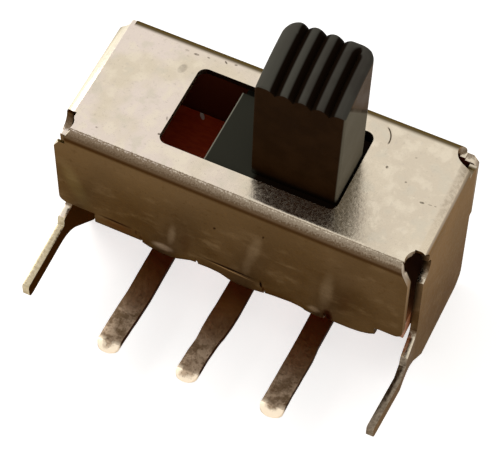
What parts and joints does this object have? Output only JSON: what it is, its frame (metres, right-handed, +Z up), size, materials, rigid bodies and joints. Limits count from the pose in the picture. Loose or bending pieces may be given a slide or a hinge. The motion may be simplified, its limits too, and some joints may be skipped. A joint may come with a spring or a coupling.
{
  "type": "slide switch",
  "caption": "Right-angle miniature slide switch: folded steel frame, ribbed slider in a window, flat solder pins and mounting legs turned forward.",
  "frame": {"origin": "under the middle of the whole part, on the plane of the end plates' lower edges", "axes": "+Z up out of the slider window, -Y towards the circuit board, X along the slider's travel"},
  "size_m": [0.013, 0.0088, 0.0125],
  "materials": {
    "frame_steel": "satin tin plate, warm",
    "slider_plastic": "moulded black, half gloss",
    "board_laminate": "dark red-brown phenolic laminate",
    "terminal_metal": "tinned, dull and mottled",
    "clip_metal": "phosphor bronze, satin"
  },
  "bodies": {
    "housing": {"frame": "frame_steel", "board": "board_laminate", "terminal_left": "terminal_metal", "terminal_centre": "terminal_metal", "terminal_right": "terminal_metal"},
    "actuator": {"slider": "slider_plastic", "contact_clip": "clip_metal"}
  },
  "joints": [
    {"name": "slider_travel", "type": "slide", "parent": "housing", "child": "actuator", "axis": [1, 0, 0], "range_m": [-0.0031, 0]}
  ]
}
